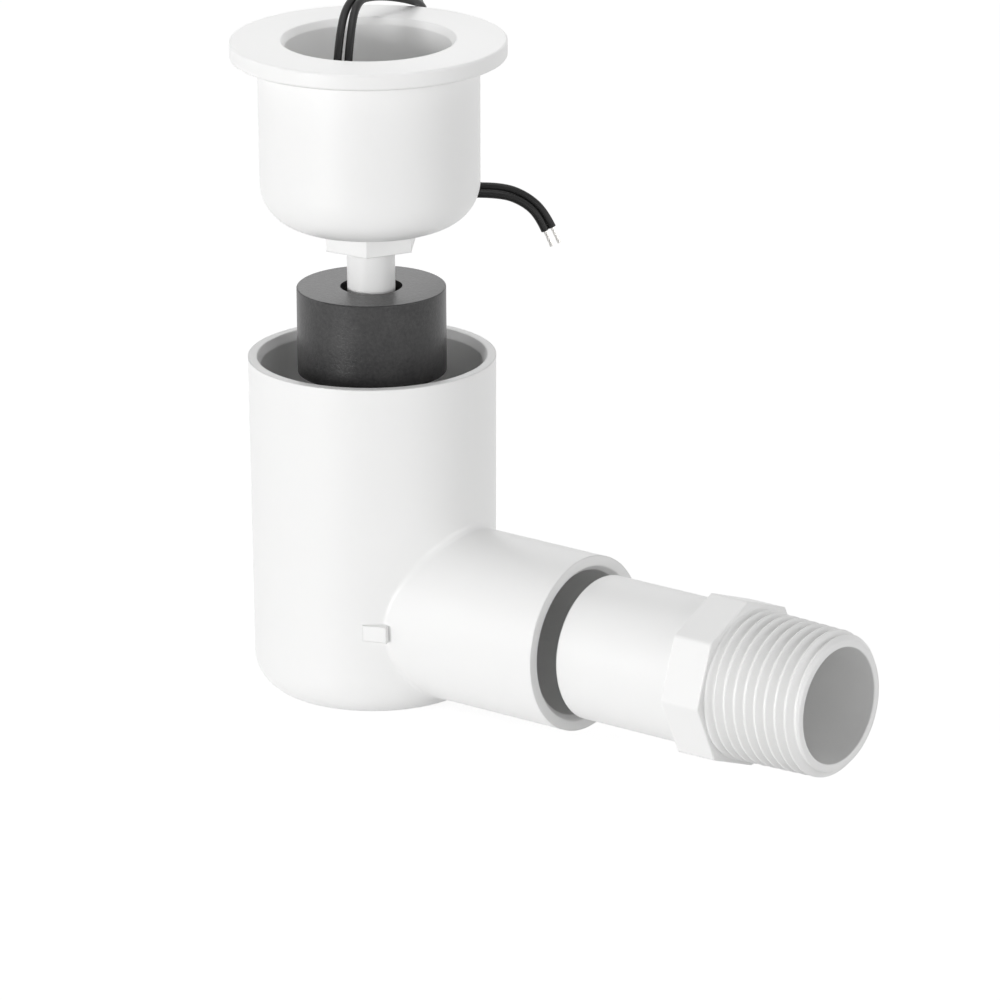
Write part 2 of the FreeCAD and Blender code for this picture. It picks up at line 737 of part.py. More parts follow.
def check(parts):
    """stop if any object failed or any sub-part is not one sound solid"""
    for item in doc.Objects:
        if {"Invalid", "Error"} & set(item.State):
            raise RuntimeError(f"{item.Label} failed: {item.State}")
    for sub_part in parts:
        shape = sub_part.Shape
        if shape.isNull() or not shape.isValid() or len(shape.Solids) != 1:
            raise RuntimeError(f"{sub_part.Label} is not one sound solid")


parts = build()
doc.recompute()
check(parts)
os.makedirs("parts", exist_ok=True)
for sub_part in parts:
    sub_part.Shape.exportStep(f"parts/{sub_part.Label}.step")
    print(f"{sub_part.Label}: {sub_part.Shape.Volume:.1f} cubic mm")
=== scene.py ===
"""Looks of the float level switch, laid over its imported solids.

The script follows the switch as it is put together: the two leads, the chamber, the threaded
adapter, the cup, the switch that hangs through it, and last the white studio round them.
Metres, +Z up, origin in the middle of the chamber's foot.
"""

import math

import bmesh
import bpy
from mathutils import Matrix, Vector


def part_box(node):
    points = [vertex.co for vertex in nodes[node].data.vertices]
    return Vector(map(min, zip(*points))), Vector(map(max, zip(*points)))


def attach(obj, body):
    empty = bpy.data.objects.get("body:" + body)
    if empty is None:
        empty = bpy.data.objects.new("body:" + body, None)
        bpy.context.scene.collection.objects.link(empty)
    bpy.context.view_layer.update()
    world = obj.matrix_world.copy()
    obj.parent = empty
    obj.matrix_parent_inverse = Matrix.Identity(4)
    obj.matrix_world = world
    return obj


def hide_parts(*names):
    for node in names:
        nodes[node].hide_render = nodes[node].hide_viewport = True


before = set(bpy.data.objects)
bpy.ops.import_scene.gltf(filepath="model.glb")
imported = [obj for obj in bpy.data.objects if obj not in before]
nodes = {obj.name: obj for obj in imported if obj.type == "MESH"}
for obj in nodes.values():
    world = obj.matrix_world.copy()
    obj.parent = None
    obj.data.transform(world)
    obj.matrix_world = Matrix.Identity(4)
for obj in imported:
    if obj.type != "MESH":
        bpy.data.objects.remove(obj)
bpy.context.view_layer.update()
scene = bpy.context.scene


# Camera
# A long lens from the right of the front, a little above, as a product is photographed. The
# frame is rolled by under half a degree, and its upper edge cuts off the arch of the leads.
def bearing(azimuth, elevation):
    """direction that lies right of the front and above level by two angles"""
    return Vector((
        math.sin(azimuth) * math.cos(elevation),
        -math.cos(azimuth) * math.cos(elevation),
        math.sin(elevation),
    ))


def aim_camera(aim, azimuth, elevation, roll, distance, lens):
    """stand a camera off the aim point, looking at it"""
    away = bearing(azimuth, elevation)
    right = Vector((math.cos(azimuth), math.sin(azimuth), 0))
    up = away.cross(right)
    across = math.cos(roll) * right + math.sin(roll) * up
    upward = math.cos(roll) * up - math.sin(roll) * right
    camera = bpy.data.objects.new("camera", bpy.data.cameras.new("camera"))
    camera.data.lens = lens
    camera.data.sensor_width = 36
    camera.data.clip_start = 0.05
    camera.data.clip_end = 50
    turn = Matrix((across, upward, away)).transposed().to_4x4()
    camera.matrix_world = Matrix.Translation(aim + away * distance) @ turn
    scene.collection.objects.link(camera)
    scene.camera = camera


aim_camera(
    aim=Vector((0.01171, 0.02254, 0.03192)),
    azimuth=math.radians(38.625),
    elevation=math.radians(17.766),
    roll=math.radians(-0.41),
    distance=1.5567,
    lens=302.4,
)


# Leads
# Two single leads of stranded copper in black soft PVC. They leave the resin at the top of the
# stem, arch over the flange of the cup and hang behind it, and their ends stand out to the side.
LEAD_DIAMETER = 0.0015
# Length of a bared tip, as a share of the diagonal of its box.
BARED_SHARE = 0.85
LEAD_EXIT_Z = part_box("potting_plug")[1].z
LEAD_A_ROUTE = [
    (-0.0011, 0.0000, 0.0000), (-0.0011, 0.0000, 0.0068), (-0.0032, -0.0058, 0.0158),
    (-0.0039, -0.0037, 0.0267), (-0.0078, 0.0033, 0.0315), (-0.0097, 0.0117, 0.0324),
    (-0.0100, 0.0204, 0.0306), (-0.0114, 0.0294, 0.0268), (-0.0136, 0.0326, 0.0180),
    (-0.0129, 0.0324, 0.0078), (-0.0096, 0.0316, -0.0021), (-0.0053, 0.0338, -0.0093),
    (0.0010, 0.0378, -0.0092), (0.0046, 0.0400, -0.0108), (0.0073, 0.0418, -0.0137),
    (0.0085, 0.0426, -0.0168),
]
LEAD_B_ROUTE = [
    (0.0011, 0.0000, 0.0000), (0.0011, 0.0000, 0.0070), (-0.0017, -0.0043, 0.0173),
    (-0.0024, -0.0025, 0.0262), (-0.0063, 0.0042, 0.0320), (-0.0083, 0.0119, 0.0311),
    (-0.0079, 0.0199, 0.0291), (-0.0096, 0.0287, 0.0256), (-0.0124, 0.0308, 0.0172),
    (-0.0130, 0.0304, 0.0071), (-0.0106, 0.0300, -0.0026), (-0.0053, 0.0323, -0.0104),
    (0.0016, 0.0365, -0.0103), (0.0046, 0.0387, -0.0117), (0.0069, 0.0404, -0.0142),
    (0.00785, 0.04131, -0.01727),
]


def new_material(name):
    """an empty node material with its shader"""
    material = bpy.data.materials.new(name)
    material.use_nodes = True
    shader = material.node_tree.nodes["Principled BSDF"]
    return material, material.node_tree, shader


def dress(piece, material):
    """give a piece one material and no other"""
    piece.data.materials.clear()
    piece.data.materials.append(material)


def declare(tree, inputs, outputs):
    """give a node group its named inputs, with their start values, and its outputs"""
    for name, kind, value in inputs:
        socket = tree.interface.new_socket(name=name, in_out="INPUT",
                                           socket_type="NodeSocket" + kind)
        if value is not None:
            socket.default_value = value
    for name, kind in outputs:
        tree.interface.new_socket(name=name, in_out="OUTPUT", socket_type="NodeSocket" + kind)


def calculator(tree):
    """function that adds a math node to a tree, fed by sockets or plain numbers"""
    def calc(operation, *values):
        """output of one math node"""
        node = tree.nodes.new("ShaderNodeMath")
        node.operation = operation
        for index, value in enumerate(values):
            if isinstance(value, (int, float)):
                node.inputs[index].default_value = value
            else:
                tree.links.new(value, node.inputs[index])
        return node.outputs[0]
    return calc


def noise(tree, place, scale, detail=2):
    """noise texture on a place in space; its scale is a number or a socket"""
    texture = tree.nodes.new("ShaderNodeTexNoise")
    texture.inputs["Detail"].default_value = detail
    tree.links.new(place, texture.inputs["Vector"])
    if isinstance(scale, (int, float)):
        texture.inputs["Scale"].default_value = scale
    else:
        tree.links.new(scale, texture.inputs["Scale"])
    return texture.outputs["Fac"]


def skin_group():
    """surface of a moulded or extruded plastic: faint cloudiness and orange peel"""
    group = bpy.data.node_groups.new("plastic_skin", "ShaderNodeTree")
    declare(group, (
        ("Tint", "Color", (0.8, 0.8, 0.8, 1)), ("Cloud Size", "Float", 0.03),
        ("Cloudiness", "Float", 0.03), ("Peel Size", "Float", 0.001),
        ("Roughness", "Float", 0.35), ("Roughness Spread", "Float", 0.08),
    ), (("Color", "Color"), ("Roughness", "Float"), ("Height", "Float")))
    made, link, calc = group.nodes.new, group.links.new, calculator(group)
    given = made("NodeGroupInput").outputs
    result = made("NodeGroupOutput").inputs
    place = made("ShaderNodeTexCoord").outputs["Object"]
    clouds = noise(group, place, calc("DIVIDE", 1, given["Cloud Size"]), detail=3)
    peel = noise(group, place, calc("DIVIDE", 1, given["Peel Size"]))
    swing = calc("SUBTRACT", clouds, 0.5)
    tinted = made("ShaderNodeVectorMath")
    tinted.operation = "SCALE"
    link(given["Tint"], tinted.inputs[0])
    link(calc("MULTIPLY_ADD", swing, given["Cloudiness"], 1), tinted.inputs["Scale"])
    gloss = calc("MULTIPLY_ADD", swing, given["Roughness Spread"], given["Roughness"])
    link(tinted.outputs[0], result["Color"])
    link(gloss, result["Roughness"])
    link(peel, result["Height"])
    return group


PLASTIC_SKIN = skin_group()


def skinned(name, tint, looks):
    """material whose colour and roughness come from the skin, with values for its inputs"""
    material, tree, shader = new_material(name)
    skin = tree.nodes.new("ShaderNodeGroup")
    skin.node_tree = PLASTIC_SKIN
    skin.inputs["Tint"].default_value = (*tint, 1)
    for label, value in looks.items():
        skin.inputs[label].default_value = value
    tree.links.new(skin.outputs["Color"], shader.inputs["Base Color"])
    tree.links.new(skin.outputs["Roughness"], shader.inputs["Roughness"])
    return material, shader, skin


def plastic(name, tint, roughness, peel_size, peel_height, cloudiness=0.02, spread=0.06,
            ior=1.5, soft_edge=0):
    """moulded or extruded plastic of one tint, its sharp edges dulled as a mould leaves them"""
    material, shader, skin = skinned(name, tint, {
        "Cloudiness": cloudiness, "Peel Size": peel_size,
        "Roughness": roughness, "Roughness Spread": spread,
    })
    shader.inputs["IOR"].default_value = ior
    tree = material.node_tree
    bump = tree.nodes.new("ShaderNodeBump")
    bump.inputs["Distance"].default_value = peel_height
    tree.links.new(skin.outputs["Height"], bump.inputs["Height"])
    tree.links.new(bump.outputs["Normal"], shader.inputs["Normal"])
    if soft_edge:
        dulled = tree.nodes.new("ShaderNodeBevel")
        dulled.samples = 6
        dulled.inputs["Radius"].default_value = soft_edge
        tree.links.new(dulled.outputs["Normal"], bump.inputs["Normal"])
    return material


LEAD_BLACK = plastic(
    "lead_black", tint=(0.026, 0.026, 0.026), roughness=0.3,
    peel_size=0.0006, peel_height=0.00001, cloudiness=0.2, ior=1.25,
)


def metal(name, tint, roughness, cloud_size=0.0006, cloudiness=0.12, spread=0.15):
    """bright metal whose sheen varies a little"""
    material, shader, _ = skinned(name, tint, {
        "Cloud Size": cloud_size, "Cloudiness": cloudiness,
        "Roughness": roughness, "Roughness Spread": spread,
    })
    shader.inputs["Metallic"].default_value = 1
    return material


TINNED_COPPER = metal("tinned_copper", tint=(0.80, 0.79, 0.77), roughness=0.28)


def strand_tree():
    """bundle of twisted strands that stands on the origin, along +Z"""
    tree = bpy.data.node_groups.new("twisted_strands", "GeometryNodeTree")
    declare(tree, (
        ("Length", "Float", 0.0032), ("Strand Radius", "Float", 0.00013),
        ("Twist", "Float", 1500.0), ("Flare", "Float", 0.12), ("Stations", "Int", 25),
        ("Strands Round", "Int", 6), ("Metal", "Material", None),
    ), (("Geometry", "Geometry"),))
    made, link, calc = tree.nodes.new, tree.links.new, calculator(tree)
    given = made("NodeGroupInput").outputs
    result = made("NodeGroupOutput")
    top = made("ShaderNodeCombineXYZ")
    link(given["Length"], top.inputs["Z"])
    line = made("GeometryNodeCurvePrimitiveLine")
    link(top.outputs[0], line.inputs["End"])
    fine = made("GeometryNodeResampleCurve")
    link(given["Stations"], fine.inputs["Count"])
    link(line.outputs["Curve"], fine.inputs["Curve"])
    ring = made("GeometryNodeMeshCircle")
    link(given["Strands Round"], ring.inputs["Vertices"])
    link(calc("MULTIPLY", given["Strand Radius"], 2.0), ring.inputs["Radius"])
    around = made("GeometryNodeInstanceOnPoints")
    link(ring.outputs["Mesh"], around.inputs["Points"])
    link(fine.outputs["Curve"], around.inputs["Instance"])
    bundle = made("GeometryNodeJoinGeometry")
    link(around.outputs["Instances"], bundle.inputs["Geometry"])
    link(fine.outputs["Curve"], bundle.inputs["Geometry"])
    real = made("GeometryNodeRealizeInstances")
    link(bundle.outputs[0], real.inputs["Geometry"])
    place = made("GeometryNodeInputPosition")
    parts = made("ShaderNodeSeparateXYZ")
    link(place.outputs[0], parts.inputs[0])
    share = calc("DIVIDE", parts.outputs["Z"], given["Length"])
    spread = calc("MULTIPLY_ADD", calc("POWER", share, 2.0), given["Flare"], 1.0)
    wide = made("ShaderNodeCombineXYZ")
    link(calc("MULTIPLY", parts.outputs["X"], spread), wide.inputs["X"])
    link(calc("MULTIPLY", parts.outputs["Y"], spread), wide.inputs["Y"])
    link(parts.outputs["Z"], wide.inputs["Z"])
    turned = made("ShaderNodeVectorRotate")
    turned.rotation_type = "Z_AXIS"
    link(wide.outputs[0], turned.inputs["Vector"])
    link(calc("MULTIPLY", parts.outputs["Z"], given["Twist"]), turned.inputs["Angle"])
    moved = made("GeometryNodeSetPosition")
    link(real.outputs[0], moved.inputs["Geometry"])
    link(turned.outputs[0], moved.inputs["Position"])
    section = made("GeometryNodeCurvePrimitiveCircle")
    section.inputs["Resolution"].default_value = 10
    link(given["Strand Radius"], section.inputs["Radius"])
    solid = made("GeometryNodeCurveToMesh")
    solid.inputs["Fill Caps"].default_value = True
    link(moved.outputs[0], solid.inputs["Curve"])
    link(section.outputs["Curve"], solid.inputs["Profile Curve"])
    smooth = made("GeometryNodeSetShadeSmooth")
    link(solid.outputs[0], smooth.inputs["Geometry"])
    painted = made("GeometryNodeSetMaterial")
    link(smooth.outputs[0], painted.inputs["Geometry"])
    link(given["Metal"], painted.inputs["Material"])
    link(painted.outputs[0], result.inputs["Geometry"])
    return tree


def grown(name, tree, values):
    """mesh that a geometry tree makes from named values, with no modifier left"""
    source = bpy.data.objects.new(name + "_source", bpy.data.meshes.new(name))
    scene.collection.objects.link(source)
    modifier = source.modifiers.new("grow", "NODES")
    modifier.node_group = tree
    sockets = {item.name: item.identifier for item in tree.interface.items_tree
               if item.item_type == "SOCKET" and item.in_out == "INPUT"}
    for label, value in values.items():
        modifier[sockets[label]] = value
    bpy.context.view_layer.update()
    evaluated = source.evaluated_get(bpy.context.evaluated_depsgraph_get())
    mesh = bpy.data.meshes.new_from_object(evaluated)
    bpy.data.objects.remove(source)
    mesh.name = name
    return mesh


def new_piece(name, mesh):
    """object of a finished mesh, at the origin"""
    piece = bpy.data.objects.new(name, mesh)
    scene.collection.objects.link(piece)
    return piece


TWISTED_STRANDS = strand_tree()


def lead(label, route, tip_node, twist):
    """one lead with the bared strands at its end"""
    points = [Vector((x, y, z + LEAD_EXIT_Z)) for x, y, z in route]
    curve = bpy.data.curves.new(f"black_{label}", "CURVE")
    curve.dimensions = "3D"
    curve.bevel_depth = LEAD_DIAMETER / 2
    curve.bevel_resolution = 7
    curve.resolution_u = 16
    curve.use_fill_caps = True
    spline = curve.splines.new("NURBS")
    spline.points.add(len(points) - 1)
    for spot, point in zip(spline.points, points):
        spot.co = (*point, 1)
    spline.order_u = 3
    spline.use_endpoint_u = True
    piece = new_piece(f"black_{label}", curve)
    dress(piece, LEAD_BLACK)
    low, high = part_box(tip_node)
    heading = (points[-1] - points[-2]).normalized()
    bared_length = (high - low).length * BARED_SHARE
    mesh = grown(f"strands_{label}", TWISTED_STRANDS,
                 {"Length": bared_length, "Twist": twist, "Metal": TINNED_COPPER})
    stand = Matrix.Translation(points[-1]) @ heading.to_track_quat("Z", "Y").to_matrix().to_4x4()
    mesh.transform(stand)
    strands = new_piece(f"strands_{label}", mesh)
    for item, node in ((piece, label), (strands, tip_node)):
        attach(item, "cap")
        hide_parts(node)
    lead_length(curve)


def lead_length(curve):
    """length of a curve's own line, without its thickness"""
    bare = curve.copy()
    bare.bevel_depth = 0
    holder = new_piece("measure", bare)
    line = bpy.data.meshes.new_from_object(holder)
    length = sum((line.vertices[a].co - line.vertices[b].co).length
                 for a, b in (edge.vertices for edge in line.edges))
    bpy.data.objects.remove(holder)
    return length


lead("lead_a", LEAD_A_ROUTE, "lead_a_tip", twist=900.0)
lead("lead_b", LEAD_B_ROUTE, "lead_b_tip", twist=800.0)


# Chamber
# Injection moulded in rigid white PVC, with the side arm and the small alignment tab in one
# piece. Its skin is satin, with the very faint orange peel of a polished mould.


def rigid_pvc(name, soft_edge=0):
    """white PVC with a satin skin"""
    return plastic(name, tint=(0.9, 0.9, 0.895), roughness=0.38, peel_size=0.0012,
                   peel_height=0.000012, ior=1.6, soft_edge=soft_edge)


WHITE_PVC = rigid_pvc("white_pvc", soft_edge=0.0005)
dress(nodes["elbow_body"], WHITE_PVC)


# Adapter
# A plain spigot that is pushed into the side arm, an eight-sided collar for the wrench and a
# tapered pipe thread, moulded in the same white PVC round one straight bore. Its edges are soft
# in the mesh, so its material leaves them alone.
ADAPTER_PVC = rigid_pvc("adapter_pvc")
adapter_low, adapter_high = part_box("male_adapter")
ADAPTER_AXIS_Z = (adapter_low.z + adapter_high.z) / 2
COLLAR_TURN = math.radians(2.6)
COLLAR_RADIUS = (adapter_high.z - adapter_low.z) / 2 / math.cos(COLLAR_TURN)
THREAD_LENGTH = 0.0197
COLLAR_LENGTH = 0.0083
SPIGOT_RADIUS = 0.013335
SPIGOT_CHAMFER = 0.0006
DRAIN_RADIUS = 0.01061
THREAD_RADIUS = 0.01375
THREAD_END_RADIUS = 0.01325
NOSE_LENGTH = 0.0013
NOSE_RADIUS = THREAD_END_RADIUS - NOSE_LENGTH
THREAD_PITCH = 0.0022
THREAD_DEPTH = 0.0015
THREAD_X = adapter_high.x - THREAD_LENGTH
COLLAR_X = THREAD_X - COLLAR_LENGTH
ROUND_STEPS = 256


def thread_tree():
    """skin of a tapered screw thread about the X axis, from the collar to the chamfered nose

    The grid's columns go round and its rows follow the helix, so that crest and root each keep
    to one row. Rows that run past either end are gathered on the ring there.
    """
    tree = bpy.data.node_groups.new("tapered_thread", "GeometryNodeTree")
    declare(tree, (
        ("Steps Round", "Int", 256), ("Steps per Pitch", "Int", 22), ("Pitch", "Float", 0.002),
        ("Length", "Float", 0.02), ("Depth", "Float", 0.001), ("Collar Radius", "Float", 0.014),
        ("End Radius", "Float", 0.013), ("Nose Radius", "Float", 0.012),
        ("Nose Length", "Float", 0.001), ("Crest Share", "Float", 0.09),
        ("Root Share", "Float", 0.2), ("Run In", "Float", 0.5), ("Run Out", "Float", 0.1),
        ("Plastic", "Material", None),
    ), (("Geometry", "Geometry"),))
    made, link, calc = tree.nodes.new, tree.links.new, calculator(tree)
    given = made("NodeGroupInput").outputs
    result = made("NodeGroupOutput")

    turns = calc("ADD", calc("CEIL", calc("DIVIDE", given["Length"], given["Pitch"])), 1)
    rows = calc("MULTIPLY_ADD", turns, given["Steps per Pitch"], 1)
    grid = made("GeometryNodeMeshGrid")
    grid.inputs["Size X"].default_value = 1
    grid.inputs["Size Y"].default_value = 1
    link(calc("ADD", given["Steps Round"], 1), grid.inputs["Vertices X"])
    link(rows, grid.inputs["Vertices Y"])
    place = made("ShaderNodeSeparateXYZ")
    link(made("GeometryNodeInputPosition").outputs[0], place.inputs[0])
    round_share = calc("ADD", place.outputs["X"], 0.5)
    pitches = calc("MULTIPLY", calc("ADD", place.outputs["Y"], 0.5), turns)
    along = calc("MULTIPLY", calc("SUBTRACT", calc("ADD", pitches, round_share), 1),
                 given["Pitch"])
    along = calc("MINIMUM", calc("MAXIMUM", along, 0), given["Length"])
    from_end = calc("SUBTRACT", given["Length"], along)

    phase = calc("FRACT", calc("ADD", pitches, 1e-5))
    off_crest = calc("MULTIPLY", calc("ABSOLUTE", calc("SUBTRACT", phase, 0.5)), 2)
    slope = calc("SUBTRACT", calc("SUBTRACT", 1, given["Crest Share"]), given["Root Share"])
    groove = calc("DIVIDE", calc("SUBTRACT", off_crest, given["Crest Share"]), slope)
    groove = calc("MINIMUM", calc("MAXIMUM", groove, 0), 1)
    run_in = calc("DIVIDE", along, calc("MULTIPLY", given["Pitch"], given["Run In"]))
    run_out = calc("DIVIDE", from_end, calc("MULTIPLY", given["Pitch"], given["Run Out"]))
    fade = calc("MINIMUM", calc("MINIMUM", run_in, run_out), 1)
    cut = calc("MULTIPLY", calc("MULTIPLY", groove, fade), given["Depth"])
    taper = calc("SUBTRACT", given["End Radius"], given["Collar Radius"])
    share = calc("DIVIDE", along, given["Length"])
    crest = calc("MULTIPLY_ADD", taper, share, given["Collar Radius"])
    nose_rise = calc("SUBTRACT", given["End Radius"], given["Nose Radius"])
    nose_slope = calc("DIVIDE", nose_rise, given["Nose Length"])
    nose = calc("MULTIPLY_ADD", from_end, nose_slope, given["Nose Radius"])
    radius = calc("MINIMUM", calc("SUBTRACT", crest, cut), nose)
    angle = calc("MULTIPLY", round_share, 2 * math.pi)
    spot = made("ShaderNodeCombineXYZ")
    link(along, spot.inputs["X"])
    link(calc("MULTIPLY", radius, calc("COSINE", angle)), spot.inputs["Y"])
    link(calc("MULTIPLY", radius, calc("SINE", angle)), spot.inputs["Z"])
    moved = made("GeometryNodeSetPosition")
    link(grid.outputs["Mesh"], moved.inputs["Geometry"])
    link(spot.outputs[0], moved.inputs["Position"])
    closed = made("GeometryNodeMergeByDistance")
    closed.inputs["Distance"].default_value = 2e-6
    link(moved.outputs[0], closed.inputs["Geometry"])
    smooth = made("GeometryNodeSetShadeSmooth")
    link(closed.outputs[0], smooth.inputs["Geometry"])
    real = made("GeometryNodeRealizeInstances")
    link(smooth.outputs[0], real.inputs["Geometry"])
    painted = made("GeometryNodeSetMaterial")
    link(real.outputs[0], painted.inputs["Geometry"])
    link(given["Plastic"], painted.inputs["Material"])
    link(painted.outputs[0], result.inputs["Geometry"])
    return tree


def softened(corners, steps=4, guard=0.15):
    """stations of a turned outline whose corners are rounded

    A corner is (x, radius, rounding, eight-sided share). A rounded one becomes an arc with a
    station just before and after it, off by the guard's share of the rounding, which keep the
    flats beside it flat in the light.
    """
    stations = []
    for index, (x, radius, rounding, share) in enumerate(corners):
        here = Vector((x, radius))
        if not rounding:
            stations.append((x, radius, share))
            continue
        before = Vector(corners[index - 1][:2])
        after = Vector(corners[(index + 1) % len(corners)][:2])
        back, ahead = (before - here).normalized(), (after - here).normalized()
        half = back.angle(ahead) / 2
        reach = rounding / math.tan(half)
        centre = here + (back + ahead).normalized() * (rounding / math.sin(half))
        first, last = here + back * reach, here + ahead * reach
        stations.append((*(first + back * rounding * guard), share))
        sweep = (first - centre).angle_signed(last - centre)
        for step in range(steps + 1):
            spoke = (first - centre).copy()
            spoke.rotate(Matrix.Rotation(-sweep * step / steps, 2))
            stations.append((*(centre + spoke), share))
        stations.append((*(last + ahead * rounding * guard), share))
    return stations


def eight_sided(angle):
    """radius of an octagon of circumradius one, turned as the collar is"""
    side = math.pi / 4
    return math.cos(side / 2) / math.cos(((angle - COLLAR_TURN) % side) - side / 2)


def lathe(mesh_maker, stations, axis_z):
    """rings of vertices at the stations, joined into a skin"""
    rings = []
    for x, radius, share in stations:
        ring = []
        for step in range(ROUND_STEPS):
            angle = 2 * math.pi * step / ROUND_STEPS
            reach = radius * (1 - share + share * eight_sided(angle))
            ring.append(mesh_maker.verts.new(
                (x, reach * math.cos(angle), axis_z + reach * math.sin(angle))))
        rings.append(ring)
    for first, second in zip(rings, rings[1:]):
        for step in range(ROUND_STEPS):
            after = (step + 1) % ROUND_STEPS
            mesh_maker.faces.new((first[step], first[after], second[after], second[step]))


thread = grown("thread", thread_tree(), {
    "Steps Round": ROUND_STEPS, "Pitch": THREAD_PITCH, "Length": THREAD_LENGTH,
    "Depth": THREAD_DEPTH, "Collar Radius": THREAD_RADIUS, "End Radius": THREAD_END_RADIUS,
    "Nose Radius": NOSE_RADIUS, "Nose Length": NOSE_LENGTH, "Plastic": ADAPTER_PVC,
})
thread.transform(Matrix.Translation((THREAD_X, 0, ADAPTER_AXIS_Z)))
adapter_maker = bmesh.new()
adapter_maker.from_mesh(thread)
lathe(adapter_maker, softened([
    (adapter_high.x, NOSE_RADIUS, 0, 0),
    (adapter_high.x, DRAIN_RADIUS, 0.00025, 0),
    (adapter_low.x, DRAIN_RADIUS, 0.00025, 0),
    (adapter_low.x, SPIGOT_RADIUS - SPIGOT_CHAMFER, 0.0002, 0),
    (adapter_low.x + SPIGOT_CHAMFER, SPIGOT_RADIUS, 0.0003, 0),
    (COLLAR_X, SPIGOT_RADIUS, 0.0004, 0),
    (COLLAR_X, COLLAR_RADIUS, 0.0003, 1),
    (THREAD_X, COLLAR_RADIUS, 0.0003, 1),
    (THREAD_X, THREAD_RADIUS, 0, 0),
]), ADAPTER_AXIS_Z)
bmesh.ops.remove_doubles(adapter_maker, verts=adapter_maker.verts, dist=3e-6)
bmesh.ops.recalc_face_normals(adapter_maker, faces=adapter_maker.faces)
adapter_mesh = bpy.data.meshes.new("threaded_adapter")
adapter_maker.to_mesh(adapter_mesh)
adapter_maker.free()
adapter_mesh.shade_smooth()
adapter = new_piece("threaded_adapter", adapter_mesh)
dress(adapter, ADAPTER_PVC)
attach(adapter, "adapter")
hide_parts("male_adapter")


# Cup
# The flanged cup plugs the chamber and carries the switch in its floor. Moulded in the same
# white PVC as the chamber.
dress(nodes["float_cap"], WHITE_PVC)


# Sealing washer
# A flat ring of soft off-white rubber. The lock nut squeezes it between the floor of the cup
# and the flange of the stem.
WASHER_RUBBER = plastic(
    "washer_rubber", tint=(0.72, 0.72, 0.70), roughness=0.6,
    peel_size=0.0004, peel_height=0.00001,
)
dress(nodes["sealing_washer"], WASHER_RUBBER)


# Stem and lock nut
# Stem, six-sided flange and threaded shank are one moulding in white polypropylene, a little
# softer in its shine than the PVC. The nut inside the cup is of the same plastic.
WHITE_STEM = plastic(
    "white_stem", tint=(0.9, 0.9, 0.895), roughness=0.4,
    peel_size=0.0009, peel_height=0.00001, soft_edge=0.0003,
)
for name in ("switch_stem", "lock_nut"):
    dress(nodes[name], WHITE_STEM)


# Float
# A ring of black closed-cell foam, moulded round its magnet. The skin is a dull satin with fine
# cells that show as speckles. It slides on the stem as the water rises.
CELLS_PER_METRE = 2600
GRIT_PER_METRE = 1500
CLOUDS_PER_METRE = 160
CLOUD_SHARE = 0.45
PIT_DEPTH = 0.00003


def foam(name, darkest, palest, roughness, ior):
    """fine cells: shallow pits under a charcoal skin of uneven tone"""
    material, tree, shader = new_material(name)
    made, link = tree.nodes.new, tree.links.new
    place = made("ShaderNodeTexCoord").outputs["Object"]
    cells = made("ShaderNodeTexVoronoi")
    cells.inputs["Scale"].default_value = CELLS_PER_METRE
    link(place, cells.inputs["Vector"])
    grit = noise(tree, place, GRIT_PER_METRE, detail=4)
    clouds = noise(tree, place, CLOUDS_PER_METRE, detail=3)
    mixed = made("ShaderNodeMix")
    mixed.data_type = "FLOAT"
    mixed.inputs["Factor"].default_value = CLOUD_SHARE
    link(grit, mixed.inputs["A"])
    link(clouds, mixed.inputs["B"])
    tone = made("ShaderNodeValToRGB")
    stops = ((0.3, darkest), (0.7, palest))
    for element, (position, colour) in zip(tone.color_ramp.elements, stops):
        element.position = position
        element.color = (*colour, 1)
    link(mixed.outputs["Result"], tone.inputs["Fac"])
    link(tone.outputs["Color"], shader.inputs["Base Color"])
    pits = made("ShaderNodeMapRange")
    pits.inputs["From Max"].default_value = 0.5
    link(cells.outputs["Distance"], pits.inputs["Value"])
    relief = calculator(tree)("MULTIPLY_ADD", pits.outputs["Result"], 0.5, grit)
    bump = made("ShaderNodeBump")
    bump.inputs["Distance"].default_value = PIT_DEPTH
    link(relief, bump.inputs["Height"])
    link(bump.outputs["Normal"], shader.inputs["Normal"])
    shader.inputs["Roughness"].default_value = roughness
    shader.inputs["IOR"].default_value = ior
    return material


FLOAT_FOAM = foam("float_foam", darkest=(0.022, 0.022, 0.023), palest=(0.055, 0.054, 0.054),
                  roughness=0.36, ior=1.43)
dress(nodes["foam_float"], FLOAT_FOAM)
FERRITE = plastic(
    "ferrite", tint=(0.035, 0.035, 0.038), roughness=0.5,
    peel_size=0.0003, peel_height=0.00002, cloudiness=0.3,
)
dress(nodes["float_magnet"], FERRITE)


# Retaining clip
# Open flat ring of spring steel. It snaps into the groove at the foot of the stem and keeps the
# float on.
SPRING_STEEL = metal("spring_steel", tint=(0.56, 0.55, 0.54), roughness=0.35)
dress(nodes["retaining_clip"], SPRING_STEEL)


# Reed contact and its wiring
# Two flattened nickel-iron wires sealed in a glass tube, hidden in the stem. A copper wire
# comes back up beside it, sleeves cover the joints with the leads, and resin closes the top.


def glass(name, tint, clearest, haziest, swirls_per_metre=900):
    """clear glass whose surface is a little uneven"""
    material, tree, shader = new_material(name)
    shader.inputs["Base Color"].default_value = (*tint, 1)
    shader.inputs["Transmission Weight"].default_value = 1
    shader.inputs["IOR"].default_value = 1.5
    place = tree.nodes.new("ShaderNodeTexCoord").outputs["Object"]
    haze = tree.nodes.new("ShaderNodeMapRange")
    haze.inputs["To Min"].default_value = clearest
    haze.inputs["To Max"].default_value = haziest
    tree.links.new(noise(tree, place, swirls_per_metre), haze.inputs["Value"])
    tree.links.new(haze.outputs["Result"], shader.inputs["Roughness"])
    return material


